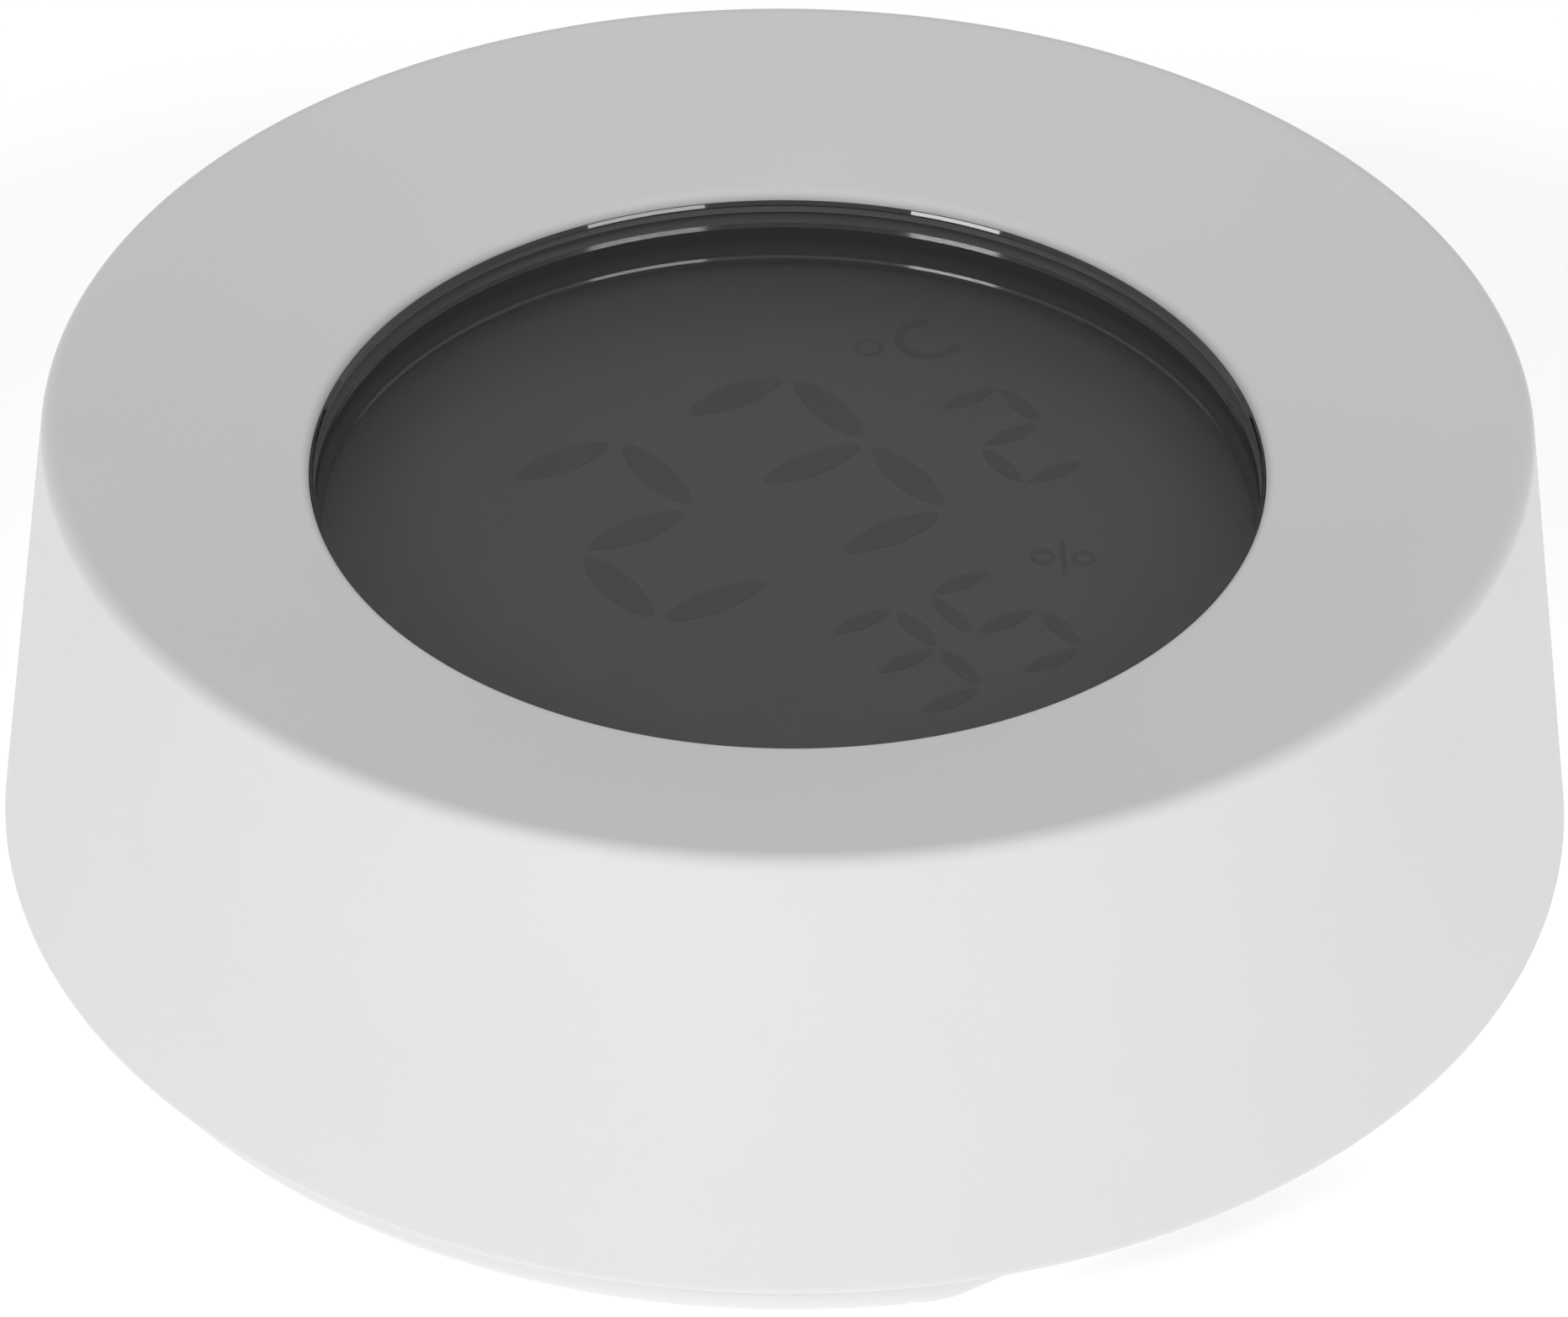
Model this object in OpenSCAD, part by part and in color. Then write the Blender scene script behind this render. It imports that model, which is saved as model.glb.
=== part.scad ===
// Round temperature and humidity sensor with a dished top and a liquid crystal display.
// The housing is as wide and as tall as the display, board and batteries in it need.
// Origin on the axis, at the level that the rubber feet stand on. +Z is up, and the display
// reads upright for someone who looks along +Y.

/* [Housing] */
// Diameter of the window's opening
window_d = 43.1; // [36:0.1:52]
// Depth of the dished top at the window
dish_depth = 3.15; // [1:0.05:4]
// Distance that the side leans in from its bottom edge to the rim
side_lean = 2.8; // [0.5:0.05:5]
// Thickness of the wall
wall = 2; // [1.5:0.1:2.6]
// Gap between the circuit board's edge and the wall
side_room = 2.1; // [0.5:0.05:5]
// Rounding of the rim
rim_round = 0.6; // [0.3:0.1:1.6]
// Rounding of the lip round the window
lip_round = 0.35; // [0.2:0.05:0.8]
// Rounding of the bottom edge
edge_round = 0.5; // [0.2:0.1:0.7]
// Rounding inside, between the side and the dished top
inner_round = 1; // [0.5:0.1:2]
// Diameter of the screw bosses
boss_d = 5.2; // [4.4:0.1:6.4]
// Gap between the screw bosses and the display's frame
boss_gap = 0.5; // [0.3:0.1:2]

/* [Base] */
// Distance that the base is set in from the housing's bottom edge
base_inset = 1.8; // [1.4:0.1:2.4]
// Height of the base that shows below the housing
base_drop = 2.6; // [1.8:0.1:4]
// Height of the base that goes up into the housing
base_reach = 3.1; // [2.6:0.1:4]
// Thickness of the base's floor
base_floor = 1.2; // [1:0.1:2]
// Thickness of the base's wall
base_wall = 1.6; // [1.2:0.1:2.2]
// Chamfer round the base's bottom edge
base_chamfer = 0.4; // [0.2:0.1:0.8]
// Width of the flat finger notch at the front
notch_w = 25; // [18:0.5:28]
// Rounding of the notch's two ends
notch_round = 4; // [2.5:0.5:6]
// Number of air slots in the notch
slot_count = 5; // [3:2:7]
// Width of an air slot
slot_w = 1.4; // [1:0.1:1.8]
// Distance from one air slot to the next
slot_pitch = 3.2; // [2.6:0.1:3.6]
// Radius of the round detents that hold the base
detent_r = 1.2; // [0.8:0.1:1.3]
// Distance that a detent stands out of the base's wall
detent_out = 0.12; // [0.05:0.01:0.14]
// Diameter of a rubber foot
foot_d = 7; // [5:0.5:9]
// Depth that a rubber foot is let into the base
foot_sunk = 0.7; // [0.4:0.1:0.8]
// Height of a rubber foot that stands out of the base
foot_proud = 0.3; // [0.2:0.1:0.6]
// Distance of a foot's middle from the base's edge
foot_inset = 8.2; // [7:0.1:12]

/* [Window] */
// Thickness of the window
lens_t = 1; // [0.8:0.1:2]
// Depth of the window's edge below the housing's lip
lens_edge_drop = 0.4; // [0.2:0.02:0.9]
// Height of the raised bevel round the window's edge
lens_edge_bevel = 0.22; // [0.08:0.02:0.4]
// Height of a polished bevel for each millimetre of its width
bevel_slope = 1.43; // [0.8:0.01:2.5]
// Width of the window's flange under the lip
lens_flange_w = 2.2; // [1.6:0.1:3]
// Thickness of the window's flange
lens_flange_t = 0.5; // [0.4:0.05:0.6]
// Thickness of the adhesive ring between the flange and the lip
tape_t = 0.1; // [0.05:0.01:0.2]

/* [Display] */
// Gap between the window and the display
display_gap = 2.1; // [1.2:0.05:3]
// Distance that the display's border reaches inside the window's opening
border_in = 0.5; // [0.3:0.1:3]
// Height of the border under its lower bevel
border_foot = 0.25; // [0.1:0.05:0.6]
// Height of the two bevels on the border, one at its foot and one under the window
border_bevel = 0.2; // [0.1:0.02:0.4]
// Distance that the display's glass reaches under the border
glass_over = 2.65; // [2.4:0.05:4]
// Wall of the black frame round the display
frame_wall = 1.1; // [1:0.1:1.6]
// Radius of the frame's pegs
peg_r = 0.5; // [0.3:0.05:0.5]
// Thickness of one display glass
glass_t = 0.7; // [0.4:0.05:1.1]
// Thickness of a polarizer film
film_t = 0.2; // [0.1:0.05:0.3]
// Distance that a film stops short of the glass's edge
film_inset = 0.5; // [0.2:0.1:0.8]
// Thickness of the liquid crystal cell
cell_gap = 0.1; // [0.06:0.02:0.2]
// Width of the seal round the cell
seal_w = 0.8; // [0.5:0.1:1]
// Width of the contact ledge that the front glass has beyond the rear glass
ledge_w = 2.7; // [2.4:0.1:3.4]
// Length of the zebra strip
zebra_l = 12; // [6:0.5:12]
// Width of the zebra strip
zebra_w = 1.6; // [1:0.1:1.7]
// Thickness of the tray under the display
display_tray_t = 1.7; // [0.6:0.05:6]
// Height of the large figures, between segment centres
big_figure_h = 12.9; // [9:0.1:13.6]
// Width of the large figures, between segment centres
big_figure_w = 6.2; // [4:0.1:6.6]
// Width of a large figure's segments
big_segment_w = 1.65; // [0.8:0.05:1.8]
// Height of the small figures, between segment centres
small_figure_h = 7; // [5:0.1:7.4]
// Width of the small figures, between segment centres
small_figure_w = 3.5; // [2.4:0.1:3.7]
// Width of a small figure's segments
small_segment_w = 0.9; // [0.5:0.05:1]
// Share of the room between two corners that a segment leaves free at its tips
segment_tip = 0.18; // [0.14:0.02:0.3]
// Length of the pointed almond for each length of the blunt segment that is cut from it
segment_blunt = 1.15; // [1.05:0.05:1.3]
// Place of the reading on the display, left to right
reading_x = 0; // [-2:0.1:2]
// Place of the reading on the display, bottom to top
reading_y = 0; // [-2:0.1:2]

/* [Electronics] */
// Thickness of the circuit board
board_t = 1; // [0.6:0.1:1.6]
// Distance from a screw's middle to the board's edge
screw_edge = 2.5; // [2.2:0.1:4]
// Diameter of a screw's shank
screw_d = 2; // [1.6:0.1:2.4]
// Diameter of a screw's head
screw_head_d = 4; // [3.4:0.1:4.4]
// Height of a screw's head
screw_head_t = 1.3; // [1:0.1:1.6]
// Depth that a screw goes into its boss
screw_bite = 5.2; // [3:0.1:5.6]
// Diameter of the pairing button's stem
button_d = 5; // [4:0.1:7]
// Travel of the pairing button
button_travel = 0.3; // [0.2:0.05:0.4]

/* [Batteries] */
// Diameter of a battery
battery_d = 10.5; // [8:0.1:14.5]
// Length of a battery with its positive button
battery_l = 44.5; // [40:0.1:51]
// Distance between the two batteries
battery_apart = 1.2; // [1:0.1:3]
// Room for a contact at each end of a battery
contact_room = 2.2; // [1.6:0.1:3]
// Thickness of the contacts' sheet metal
contact_t = 0.4; // [0.3:0.05:0.5]
// Thickness of the battery tray's walls
tray_wall = 1.2; // [0.9:0.1:1.6]
// Thickness of the battery tray's plate
tray_t = 0.8; // [0.6:0.1:1.4]

/* [Fits] */
// Gap all round between the base and the housing
base_fit = 0.2; // [0.16:0.02:0.3]
// Gap between pieces that are laid into each other
seat_fit = 0.1; // [0.05:0.01:0.15]
// Gap round a battery
battery_fit = 0.2; // [0.1:0.05:0.3]
// Gap round the button's stem and the switch's plunger
button_fit = 0.05; // [0.02:0.01:0.1]
// Gap round a screw's shank in its boss
screw_fit = 0.02; // [0.01:0.01:0.05]
// Gap round a screw's shank in the board and the tray
screw_clearance = 0.3; // [0.2:0.05:0.4]
// Gap round the parts on the board's underside
part_room = 0.35; // [0.2:0.05:0.6]

/* [Hidden] */
$fn = 96;

white = "#ECECEA";
black = "#161617";
glass_tint = "#C9D2D0";
board_green = "#1E5B3A";
steel = "#B9BCC0";

// Length that a cut runs past the face it opens
cut = 1;
// Depth that one shape of a piece runs into the next, so that they join
join = 0.01;

// Levels from the table up to the circuit board, which lies above the batteries
battery_r = battery_d / 2;
z_base = foot_proud;
z_edge = z_base + base_drop;
z_floor = z_base + base_floor;
z_wall_top = z_edge + base_reach;
z_step = z_wall_top + base_fit;
battery_z = z_floor + battery_fit + battery_r;
z_plate_low = battery_z + battery_r + battery_fit;
z_board_low = z_plate_low + tray_t;
z_board_top = z_board_low + board_t;

// Levels from the circuit board up through the display and the window to the rim
z_reflector_low = z_board_top + display_tray_t;
z_rear_low = z_reflector_low + film_t;
z_cell_low = z_rear_low + glass_t;
z_cell_top = z_cell_low + cell_gap;
z_glass_top = z_cell_top + glass_t;
z_film_top = z_glass_top + film_t;
z_lens_low = z_film_top + display_gap;
z_flange_top = z_lens_low + lens_flange_t;
z_ledge = z_flange_top + tape_t;
z_lens_top = z_lens_low + lens_t;
z_lens_edge = z_lens_top + lens_edge_bevel;
z_lip = z_lens_edge + lens_edge_drop;
z_rim = z_lip + dish_depth;

// Battery bay
bay_l = battery_l + 2 * (contact_room + contact_t);
battery_y = battery_r + battery_apart / 2;
bay_w = 2 * (battery_y + battery_r + battery_fit);
bay_corner = norm([bay_l / 2 + tray_wall, bay_w / 2 + tray_wall]);
// Distance from the axis to the bay's long outer faces
beside_bay = bay_w / 2 + tray_wall;

// Radii from the window out to the housing
window_r = window_d / 2;
lens_edge_r = window_r - seat_fit;
lens_face_r = lens_edge_r - lens_edge_bevel / bevel_slope;
flange_r = window_r + lens_flange_w;
seat_r = flange_r + seat_fit;
view_r = window_r - border_in;
glass_r = view_r + glass_over;
rear_flat = glass_r - ledge_w;
frame_r = glass_r + seat_fit + frame_wall;
screw_ring = max(frame_r, seat_r) + boss_gap + boss_d / 2;

// Parts on the board's underside, beside the battery bay
radio_size = [13, 11, 0.8];
can_size = [9.6, 9.4, 1.6];
radio_place = [-8.5, beside_bay + 2 * part_room + radio_size[1] / 2];
radio_corner = norm([radio_place[0] - radio_size[0] / 2, radio_place[1] + radio_size[1] / 2]);

// The board reaches past the screws, the bay's corners and the radio board
board_r = max(screw_ring + screw_edge, bay_corner + tray_wall, radio_corner + tray_wall);
board_level = z_board_top - z_edge;
side_slope = side_lean / (z_rim - z_edge);
housing_r = board_r + side_room + wall + side_slope * board_level;
rim_r = housing_r - side_lean;
base_r = housing_r - base_inset;
socket_r = base_r + base_fit;

// Side and dish as straight lines in the section
dish_slope = dish_depth / (rim_r - window_r);
function side_r(z) = housing_r - side_slope * (z - z_edge);
function inner_side_r(z) = side_r(z) - wall;
function dish_z(r) = z_lip + dish_slope * (r - window_r);
function under_dish_z(r) = dish_z(r) - wall;
// Radius at which the inner side meets the underside of the dish
inner_corner_r = (inner_side_r(z_lip) + side_slope * (wall + dish_slope * window_r))
               / (1 + side_slope * dish_slope);

function unit(v) = v / norm(v);
function before(pts, i) = pts[(i + len(pts) - 1) % len(pts)];
function after(pts, i) = pts[(i + 1) % len(pts)];
function is_convex(a, b, c) = cross(b - a, c - b) > 0;
// First tangent point, centre and second tangent point of a rounding with radius r at corner b
function rounding(a, b, c, r) =
  let (u = unit(a - b), v = unit(c - b), half = acos(u * v) / 2)
  [b + u * r / tan(half), b + unit(u + v) * r / sin(half), b + v * r / tan(half)];

// Polygon given counter-clockwise, each corner as [point, rounding radius or 0]
module rounded_section(corners) {
  pts = [for (c = corners) c[0]];
  ids = [0 : len(pts) - 1];
  arcs = [for (i = ids) corners[i][1] > 0
    ? rounding(before(pts, i), pts[i], after(pts, i), corners[i][1]) : undef];
  convex = [for (i = ids) is_convex(before(pts, i), pts[i], after(pts, i))];
  outline = [for (i = ids) each arcs[i] == undef ? [pts[i]] : [arcs[i][0], arcs[i][2]]];
  difference() {
    union() {
      polygon(outline);
      for (i = ids) if (arcs[i] != undef && convex[i]) translate(arcs[i][1]) circle(corners[i][1]);
    }
    for (i = ids) if (arcs[i] != undef && !convex[i]) translate(arcs[i][1]) circle(corners[i][1]);
  }
}

module ring(r_out, r_in, z, h) {
  translate([0, 0, z]) difference() {
    cylinder(r = r_out, h = h);
    translate([0, 0, -cut]) cylinder(r = r_in, h = h + 2 * cut);
  }
}

// Box with its middle in X and Y at the given place, from level z up
module block(size, place, z) {
  translate([place[0] - size[0] / 2, place[1] - size[1] / 2, z]) cube(size);
}

// Upright opening in a sheet that lies from z up to z + t
module opening(w, l, place, z, t) {
  block([w, l, t + 2 * cut], place, z - cut);
}

// Disc with a flat towards -Y at the given distance from the axis
module glass_disc(r, flat, z, h) {
  translate([0, 0, z]) intersection() {
    cylinder(r = r, h = h);
    block([2 * (r + cut), flat + r + cut, h + 2 * cut], [0, (r + cut - flat) / 2], -cut);
  }
}

// Screws through the tray and the board into the housing's bosses
screw_angles = [45, 135, 225, 315];
screw_r = screw_d / 2;
screw_hole_r = screw_r + screw_clearance;
module at_screws(z) {
  for (a = screw_angles) rotate(a) translate([screw_ring, 0, z]) children();
}

// Detents half-way up the part of the base that is inside the housing
detent_angles = [90, 210, 330];
z_detent = z_edge + base_reach / 2;
module at_detents() {
  for (a = detent_angles) rotate(a)
    translate([base_r - detent_r + detent_out, 0, z_detent]) children();
}

module housing() {
  boss_top = under_dish_z(screw_ring) + wall / 2;
  color(white) difference() {
    union() {
      rotate_extrude() rounded_section([
        [[socket_r, z_edge], 0],
        [[housing_r, z_edge], edge_round],
        [[rim_r, z_rim], rim_round],
        [[window_r, z_lip], lip_round],
        [[window_r, z_ledge], 0],
        [[seat_r, z_ledge], 0],
        [[seat_r, under_dish_z(seat_r)], 0],
        [[inner_corner_r, under_dish_z(inner_corner_r)], inner_round],
        [[inner_side_r(z_step), z_step], 0],
        [[socket_r, z_step], 0]
      ]);
      at_screws(z_board_top) cylinder(d = boss_d, h = boss_top - z_board_top);
    }
    at_screws(z_board_top - cut) cylinder(r = screw_r, h = screw_bite + 1.5 * cut);
    at_detents() sphere(r = detent_r + base_fit);
  }
}

// Flat window with a raised, bevelled edge and a flange under the lip
module window_lens() {
  color("#3A3A3C", 0.7) rotate_extrude() polygon([
    [0, z_lens_low],
    [flange_r, z_lens_low],
    [flange_r, z_flange_top],
    [lens_edge_r, z_flange_top],
    [lens_edge_r, z_lens_edge],
    [lens_face_r, z_lens_top],
    [0, z_lens_top]
  ]);
}

module lens_adhesive() {
  color(black) ring(flange_r - seat_fit, window_r + seat_fit, z_flange_top, tape_t);
}

// Frame round the display, with a border over its edge and pegs in the board
peg_angles = [0, 90, 180, 270];
module at_pegs(z) {
  for (a = peg_angles) rotate(a) translate([frame_r - frame_wall / 2, 0, z]) children();
}

module display_frame() {
  z_bevel = z_film_top + border_foot;
  bevel_w = border_bevel / bevel_slope;
  color(black) {
    rotate_extrude() polygon([
      [glass_r + seat_fit, z_board_top],
      [frame_r, z_board_top],
      [frame_r, z_lens_low],
      [view_r + 2 * bevel_w, z_lens_low],
      [view_r + bevel_w, z_lens_low - border_bevel],
      [view_r + bevel_w, z_bevel + border_bevel],
      [view_r, z_bevel],
      [view_r, z_film_top],
      [glass_r + seat_fit, z_film_top]
    ]);
    at_pegs(z_board_low) cylinder(r = peg_r, h = board_t + join);
  }
}

module front_polarizer() {
  color("#4A4C4E", 0.9) translate([0, 0, z_glass_top])
    cylinder(r = glass_r - film_inset, h = film_t);
}

module front_glass() {
  color(glass_tint, 0.5) translate([0, 0, z_cell_top]) cylinder(r = glass_r, h = glass_t);
}

module cell_seal() {
  color("#8C8C84") difference() {
    glass_disc(glass_r, rear_flat, z_cell_low, cell_gap);
    glass_disc(glass_r - seal_w, rear_flat - seal_w, z_cell_low - cut, cell_gap + 2 * cut);
  }
}

module rear_glass() {
  color(glass_tint, 0.5) glass_disc(glass_r, rear_flat, z_rear_low, glass_t);
}

module rear_reflector() {
  color("#9A9C9C") glass_disc(glass_r - film_inset, rear_flat - film_inset, z_reflector_low, film_t);
}

module display_tray() {
  color(white) glass_disc(glass_r, rear_flat, z_board_top, display_tray_t);
}

// Rubber strip in the middle of the contact ledge
module zebra_connector() {
  strip = [zebra_l, zebra_w, z_cell_top - z_board_top];
  color("#B7A7A0") block(strip, [0, -(rear_flat + part_room + zebra_w / 2)], z_board_top);
}

// Seven-segment figures with almond-shaped segments that have blunt ends
// Segments in the order top, upper right, lower right, bottom, lower left, upper left, middle
figure_two = [1, 1, 0, 1, 1, 0, 1];
figure_three = [1, 1, 1, 1, 0, 0, 1];
figure_five = [1, 0, 1, 1, 0, 1, 1];
// Middle of each segment, in halves of the figure's width and quarters of its height, and direction
segment_places = [
  [0, 2, 0], [1, 1, 90], [1, -1, 90], [0, -2, 0], [-1, -1, 90], [-1, 1, 90], [0, 0, 0]
];

module almond(l, w) {
  pointed_l = segment_blunt * l;
  r = (pointed_l * pointed_l + w * w) / (4 * w);
  intersection() {
    square([l, w], center = true);
    intersection_for (side = [-1, 1]) translate([0, side * (r - w / 2)]) circle(r);
  }
}

module figure(lit, w, h, segment_w, place) {
  translate(place) for (i = [0 : 6]) if (lit[i] == 1) {
    s = segment_places[i];
    room = s[2] == 0 ? w : h / 2;
    translate([s[0] * w / 2, s[1] * h / 4]) rotate(s[2]) almond(room * (1 - segment_tip), segment_w);
  }
}

module flat_ring(r, stroke) {
  difference() {
    circle(r);
    circle(r - stroke);
  }
}

// Places of the figures and signs on the display
ten_place = [-5.25, 4.35];
unit_place = [4.3, 4.35];
tenth_place = [13.25, 1.2];
humidity_ten_place = [-0.65, -10.5];
humidity_unit_place = [4.75, -10.5];
degree_place = [11.75, 10.7];
celsius_place = [14.5, 9.75];
percent_place = [9.7, -7.95];

// Stroke, radii and angles of the two signs
sign_stroke = 0.26;
degree_r = 0.72;
celsius_r = 1.65;
celsius_stroke = 0.5;
celsius_mouth = 57;
percent_r = 0.6;
percent_apart = [0.75, -0.55];
percent_bar_l = 2.5;
percent_lean = 58;

module celsius_sign() {
  mouth = celsius_r * [1 + cut, (1 + cut) * tan(celsius_mouth)];
  translate(degree_place) flat_ring(degree_r, sign_stroke);
  translate(celsius_place) difference() {
    flat_ring(celsius_r, celsius_stroke);
    polygon([[0, 0], [mouth[0], -mouth[1]], mouth]);
  }
}

module percent_sign() {
  translate(percent_place) {
    for (side = [-1, 1]) translate(side * percent_apart) flat_ring(percent_r, sign_stroke);
    rotate(percent_lean) square([percent_bar_l, sign_stroke], center = true);
  }
}

module display_segments() {
  color("#26282A") translate([reading_x, reading_y, z_cell_low]) linear_extrude(cell_gap) {
    figure(figure_two, big_figure_w, big_figure_h, big_segment_w, ten_place);
    figure(figure_three, big_figure_w, big_figure_h, big_segment_w, unit_place);
    figure(figure_two, small_figure_w, small_figure_h, small_segment_w, tenth_place);
    figure(figure_three, small_figure_w, small_figure_h, small_segment_w, humidity_ten_place);
    figure(figure_five, small_figure_w, small_figure_h, small_segment_w, humidity_unit_place);
    celsius_sign();
    percent_sign();
  }
}

module circuit_board() {
  color(board_green) difference() {
    translate([0, 0, z_board_low]) cylinder(r = board_r, h = board_t);
    at_screws(z_board_low - cut) cylinder(r = screw_hole_r, h = board_t + 2 * cut);
    at_pegs(z_board_low - cut) cylinder(r = peg_r + button_fit, h = board_t + 2 * cut);
  }
}

// Part of the given size on the board's underside, or below what is above it there
module under_board(size, place, above = 0) {
  block(size, place, z_board_low - above - size[2]);
}

module radio_board() {
  color("#16382A") under_board(radio_size, radio_place);
}

// Shield can, set to one end of the radio board, with the antenna's end left free
module shield_can() {
  free_end = (radio_size[0] - can_size[0]) / 2 - part_room;
  color(steel) under_board(can_size, radio_place + [free_end, 0], radio_size[2]);
}

// Sensor near the front edge of the board, with a gasket round it
sensor_size = [2.5, 2.5, 0.9];
sensor_port_r = 0.5;
sensor_port_l = 0.3;
gasket_wall = 1.4;
gasket_l = 1.6;
sensor_inset = 8;
sensor_place = [0, -(board_r - sensor_inset)];
gasket_in = sensor_size[0] + 2 * part_room;
gasket_out = gasket_in + 2 * gasket_wall;

module sensor_chip() {
  color("#1A1A1A") difference() {
    under_board(sensor_size, sensor_place);
    translate([sensor_place[0], sensor_place[1], z_board_low - sensor_size[2] - cut])
      cylinder(r = sensor_port_r, h = sensor_port_l + cut);
  }
}

module sensor_gasket() {
  color("#303032") difference() {
    under_board([gasket_out, gasket_out, gasket_l], sensor_place);
    opening(gasket_in, gasket_in, sensor_place, z_board_low - gasket_l, gasket_l);
  }
}

// Small parts in one opening of the tray
crystal_size = [3.2, 1.6, 0.8];
capacitor_size = [1, 1.8, 0.9];
capacitor_pitch = 2.4;
resistor_size = [0.9, 1.6, 0.5];
resistor_apart = 6.6;
row_apart = 3.3;
passive_size = [resistor_apart + resistor_size[0] + 4 * part_room,
                row_apart + capacitor_size[1] + 4 * part_room];
passive_place = [-12, -(beside_bay + tray_wall + passive_size[1] / 2)];
front_row = passive_place - [0, row_apart / 2];
back_row = passive_place + [0, row_apart / 2];

module crystal() {
  color(steel) under_board(crystal_size, back_row);
}

module chip_capacitors() {
  color("#A98A62") for (i = [-1 : 1])
    under_board(capacitor_size, front_row + [i * capacitor_pitch, 0]);
}

module chip_resistors() {
  color("#1D1D1F") for (i = [-1, 1])
    under_board(resistor_size, back_row + [i * resistor_apart / 2, 0]);
}

inductor_r = 2.4;
inductor_h = 2;
inductor_place = [12, -(beside_bay + tray_wall + 2 * part_room + inductor_r)];

module power_inductor() {
  color("#3B3B3D") translate([inductor_place[0], inductor_place[1], z_board_low - inductor_h])
    cylinder(r = inductor_r, h = inductor_h);
}

// Pairing button below its switch, in a guide of the battery tray
switch_size = [4.5, 4.5, 1.6];
plunger_r = 1;
plunger_out = 0.5;
plunger_sunk = 0.6;
button_r = button_d / 2;
button_flange_w = 0.7;
button_flange_t = 0.8;
button_proud = 0.5;
guide_l = 2.8;
z_switch_low = z_board_low - switch_size[2];
z_button_top = z_switch_low - plunger_out;
z_shoulder = z_button_top - button_flange_t;
button_flange_r = button_r + button_flange_w;
guide_room_r = max(button_flange_r, norm([switch_size[0], switch_size[1]]) / 2) + seat_fit;
guide_r = guide_room_r + tray_wall;
button_place = [9, beside_bay + tray_wall + guide_r];

module at_button(z) {
  translate([button_place[0], button_place[1], z]) children();
}

module pairing_switch() {
  color("#2A2A2C") difference() {
    under_board(switch_size, button_place);
    at_button(z_switch_low - cut)
      cylinder(r = plunger_r + button_fit, h = cut + plunger_sunk + button_travel + seat_fit);
  }
}

module switch_plunger() {
  color("#C9B48A") at_button(z_button_top) cylinder(r = plunger_r, h = plunger_out + plunger_sunk);
}

module pairing_button() {
  stem_l = button_proud + guide_l;
  color("#D8D8D6") {
    at_button(z_shoulder - stem_l) cylinder(r = button_r, h = stem_l + join);
    at_button(z_shoulder) cylinder(r = button_flange_r, h = button_flange_t);
  }
}

module button_guide() {
  difference() {
    at_button(z_shoulder - guide_l) cylinder(r = guide_r, h = z_board_low - z_shoulder + guide_l);
    at_button(z_shoulder - guide_l - cut)
      cylinder(r = button_r + button_fit, h = guide_l + 2 * cut);
    at_button(z_shoulder) cylinder(r = guide_room_r, h = z_board_low - z_shoulder + cut);
  }
}

// Duct that leads air from the base up to the sensor
duct_l = 4;
duct_in = gasket_out + 2 * seat_fit;
module air_duct() {
  difference() {
    block([duct_in + 2 * tray_wall, duct_in + 2 * tray_wall, duct_l + join], sensor_place,
          z_plate_low - duct_l);
    opening(duct_in, duct_in, sensor_place, z_plate_low - duct_l, duct_l);
  }
}

// Bay that is open below, with a rib between the two batteries
bay_lift = 0.3;
rib_end = 4;
z_bay_low = z_floor + bay_lift;
module battery_bay() {
  depth = z_plate_low - z_bay_low;
  difference() {
    block([bay_l + 2 * tray_wall, bay_w + 2 * tray_wall, depth + join], [0, 0], z_bay_low);
    opening(bay_l, bay_w, [0, 0], z_bay_low - cut, depth);
  }
  block([bay_l - 2 * rib_end, battery_apart - 2 * battery_fit, battery_r + join], [0, 0],
        z_plate_low - battery_r);
}

// Sheet-metal contacts against the ends of the bay, given by end (-1 or 1) and battery place
contact_w = 7.6;
contact_h = 8;
tab_w = 2.4;
contact_x = bay_l / 2 - contact_t / 2;

module battery_tray() {
  color(white) {
    difference() {
      translate([0, 0, z_plate_low]) cylinder(r = board_r, h = tray_t);
      at_screws(z_plate_low - cut) cylinder(r = screw_hole_r, h = tray_t + 2 * cut);
      at_button(z_plate_low - cut) cylinder(r = guide_room_r, h = tray_t + 2 * cut);
      opening(radio_size[0] + 2 * part_room, radio_size[1] + 2 * part_room, radio_place,
              z_plate_low, tray_t);
      opening(passive_size[0], passive_size[1], passive_place, z_plate_low, tray_t);
      opening(duct_in, duct_in, sensor_place, z_plate_low, tray_t);
      translate([inductor_place[0], inductor_place[1], z_plate_low - cut])
        cylinder(r = inductor_r + part_room, h = tray_t + 2 * cut);
      for (side = [-1, 1])
        opening(contact_t + 2 * seat_fit, tab_w + 2 * seat_fit, [contact_x, side * battery_y],
                z_plate_low, tray_t);
    }
    button_guide();
    air_duct();
    battery_bay();
  }
}

// Pan-head screws with a cross recess
recess_w = 0.5;
recess_l = 2.4;
recess_depth = 0.7;
module tray_screws() {
  z_head_low = z_plate_low - screw_head_t;
  color(steel) difference() {
    union() {
      at_screws(z_head_low) cylinder(d = screw_head_d, h = screw_head_t);
      at_screws(z_plate_low - join)
        cylinder(r = screw_r - screw_fit, h = tray_t + board_t + screw_bite + join);
    }
    for (a = [0, 90]) at_screws(0) rotate(a)
      block([recess_l, recess_w, recess_depth + cut], [0, 0], z_head_low - cut);
  }
}

// Batteries along X, with their positive ends opposite ways
nub_r = 1.9;
nub_l = 1;
module battery(y, way) {
  translate([0, y, battery_z]) rotate([0, way * 90, 0]) {
    translate([0, 0, -battery_l / 2]) cylinder(r = battery_r, h = battery_l - nub_l);
    cylinder(r = nub_r, h = battery_l / 2);
  }
}

module battery_left() {
  color("#3C4450") battery(battery_y, 1);
}

module battery_right() {
  color("#3C4450") battery(-battery_y, -1);
}

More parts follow.
